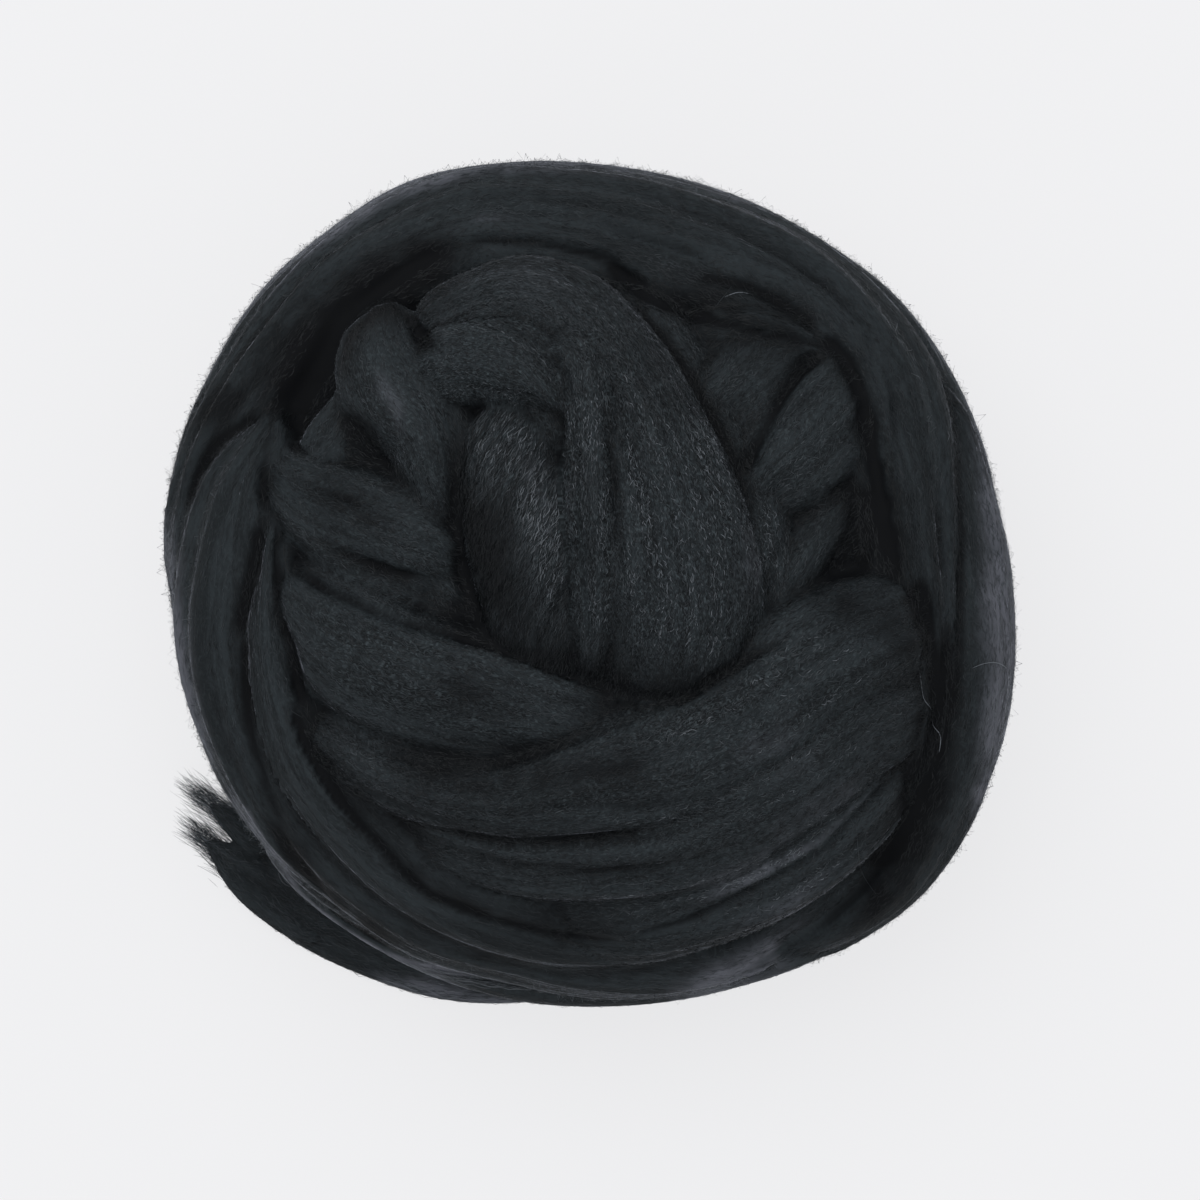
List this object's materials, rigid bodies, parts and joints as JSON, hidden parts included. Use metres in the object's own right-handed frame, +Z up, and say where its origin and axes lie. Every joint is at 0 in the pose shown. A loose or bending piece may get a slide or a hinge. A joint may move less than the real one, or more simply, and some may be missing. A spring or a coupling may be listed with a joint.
{
  "type": "ball of wool roving",
  "caption": "Ball of soft untwisted combed wool roving, hand-wound into a low squashed nest with pleated wraps, a central loop and a loose frayed end at its foot. Fibre for spinning or felting.",
  "frame": {"origin": "on the surface it rests on, in the middle of the ball's flat spot", "axes": "+Z up, +Y towards the side where the broad rim strand crosses at the back of the top, +X to the right of that; the loose end is on the -X, -Y side"},
  "size_m": [0.1596, 0.1596, 0.1002],
  "materials": {
    "charcoal_wool": "soft, matt combed wool with a faint sheen along the fibres"
  },
  "bodies": {
    "root": {"wound_ball": "charcoal_wool", "loose_end": "charcoal_wool"}
  },
  "joints": []
}
